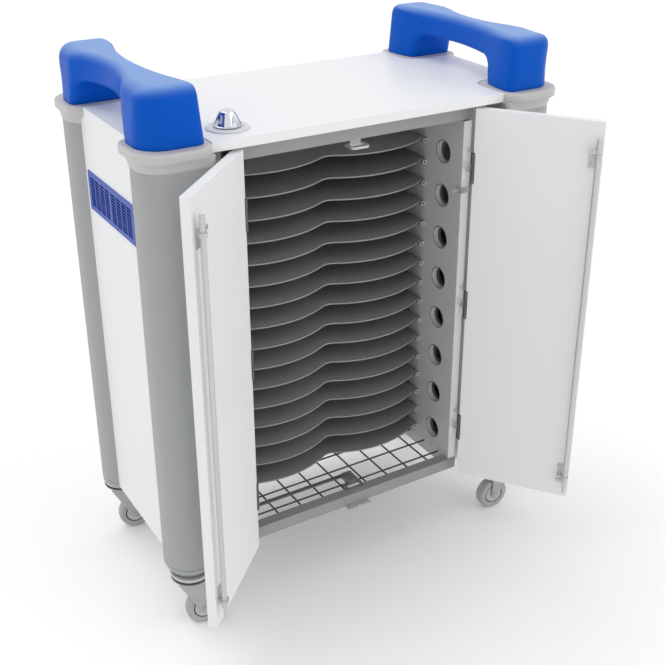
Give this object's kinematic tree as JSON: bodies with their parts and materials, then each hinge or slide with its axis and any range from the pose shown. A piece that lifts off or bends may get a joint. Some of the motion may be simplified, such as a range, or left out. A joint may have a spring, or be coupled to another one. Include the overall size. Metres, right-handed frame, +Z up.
{
  "type": "laptop charging cart",
  "caption": "Wheeled laptop charging cart: white cabinet with grey corner posts, blue handles, front doors and a stack of lobed shelves.",
  "frame": {"origin": "on the floor, below the middle of the box round the cart with its doors at rest", "axes": "+X to the right as seen from the front, +Y to the back, +Z up"},
  "size_m": [0.92, 0.6734, 1.144],
  "materials": {
    "white_board": "smooth white laminate",
    "grey_board": "smooth grey laminate",
    "post": "satin grey",
    "collar": "fine moulded grey",
    "rail": "grey powder coat",
    "handle": "satin moulded blue",
    "vent": "satin moulded blue",
    "shelf": "dark grey powder coat",
    "wire": "dull zinc",
    "bar": "dark coat",
    "fitting": "bright zinc",
    "rod": "satin zinc",
    "knob": "polished",
    "knob_plate": "light grey",
    "castor_plastic": "light grey",
    "race": "bright",
    "fork": "grey coat",
    "tyre": "soft grey, matt",
    "hub": "light grey"
  },
  "bodies": {
    "cart": {"top_panel": "white_board", "side_panel_left": "white_board", "side_panel_right": "white_board", "rear_panel": "white_board", "front_strips": "white_board", "fascia_rail": "rail", "bottom_rail": "rail", "post_fl": "post", "post_fr": "post", "post_rl": "post", "post_rr": "post", "collar_fl": "collar", "collar_fr": "collar", "collar_rl": "collar", "collar_rr": "collar", "post_feet": "post", "handle_left": "handle", "handle_right": "handle", "inner_wall_left": "grey_board", "inner_wall_right": "grey_board", "shelves_lower": "shelf", "shelves_upper": "shelf", "shelf_runners": "fitting", "mesh_floor": "wire", "vent_left": "vent", "vent_right": "vent", "top_keeper": "fitting", "bottom_latch": "fitting", "keeper_plate": "fitting", "keeper_screws": "fitting", "link_bar": "bar", "wall_catch": "fitting", "hinge_frame_leaves": "fitting", "hinge_pins": "fitting", "knob_plate": "knob_plate", "castor_housings": "castor_plastic", "swivel_races": "race"},
    "left_door": {"door_left": "white_board", "door_leaves_left": "fitting", "rod_brackets_left": "fitting", "bracket_screws_left": "fitting"},
    "left_rod": {"rod_left": "rod"},
    "right_door": {"door_right": "white_board", "door_leaves_right": "fitting", "rod_brackets_right": "fitting", "bracket_screws_right": "fitting"},
    "right_rod": {"rod_right": "rod"},
    "lock_knob": {"knob": "knob"},
    "castor_fl": {"fork_fl": "fork"},
    "wheel_fl": {"tyre_fl": "tyre", "hub_fl": "hub"},
    "castor_fr": {"fork_fr": "fork"},
    "wheel_fr": {"tyre_fr": "tyre", "hub_fr": "hub"},
    "castor_rl": {"fork_rl": "fork"},
    "wheel_rl": {"tyre_rl": "tyre", "hub_rl": "hub"},
    "castor_rr": {"fork_rr": "fork"},
    "wheel_rr": {"tyre_rr": "tyre", "hub_rr": "hub"}
  },
  "joints": [
    {"name": "left_door_hinge", "type": "hinge", "parent": "cart", "child": "left_door", "pos_m": [-0.257, -0.12126, 0.15], "axis": [0, 0, 1], "range_deg": [-4, 135.5]},
    {"name": "right_door_hinge", "type": "hinge", "parent": "cart", "child": "right_door", "pos_m": [0.257, -0.12126, 0.15], "axis": [0, 0, 1], "range_deg": [-126.8, 12.7]},
    {"name": "left_rod_turn", "type": "hinge", "parent": "left_door", "child": "left_rod", "pos_m": [-0.42192, -0.30156, 0.25], "axis": [0, 0, 1], "range_deg": [-90, 0]},
    {"name": "right_rod_turn", "type": "hinge", "parent": "right_door", "child": "right_rod", "pos_m": [0.39635, -0.32923, 0.25], "axis": [0, 0, 1], "range_deg": [0, 90]},
    {"name": "lock_knob_turn", "type": "hinge", "parent": "cart", "child": "lock_knob", "pos_m": [-0.257, -0.06076, 1.038], "axis": [0, 0, 1], "range_deg": [0, 90]},
    {"name": "castor_fl_swivel", "type": "hinge", "parent": "cart", "child": "castor_fl", "pos_m": [-0.405, -0.10176, 0.11], "axis": [0, 0, 1], "continuous": true},
    {"name": "wheel_fl_spin", "type": "hinge", "parent": "castor_fl", "child": "wheel_fl", "pos_m": [-0.38432, -0.10541, 0.038], "axis": [0.1736, 0.9848, 0], "continuous": true},
    {"name": "castor_fr_swivel", "type": "hinge", "parent": "cart", "child": "castor_fr", "pos_m": [0.405, -0.10176, 0.11], "axis": [0, 0, 1], "continuous": true},
    {"name": "wheel_fr_spin", "type": "hinge", "parent": "castor_fr", "child": "wheel_fr", "pos_m": [0.38403, -0.10067, 0.038], "axis": [-0.0523, -0.9986, 0], "continuous": true},
    {"name": "castor_rl_swivel", "type": "hinge", "parent": "cart", "child": "castor_rl", "pos_m": [-0.405, 0.28424, 0.11], "axis": [0, 0, 1], "continuous": true},
    {"name": "wheel_rl_spin", "type": "hinge", "parent": "castor_rl", "child": "wheel_rl", "pos_m": [-0.38432, 0.28059, 0.038], "axis": [0.1736, 0.9848, 0], "continuous": true},
    {"name": "castor_rr_swivel", "type": "hinge", "parent": "cart", "child": "castor_rr", "pos_m": [0.405, 0.28424, 0.11], "axis": [0, 0, 1], "continuous": true},
    {"name": "wheel_rr_spin", "type": "hinge", "parent": "castor_rr", "child": "wheel_rr", "pos_m": [0.384, 0.28424, 0.038], "axis": [0, -1, 0], "continuous": true}
  ]
}
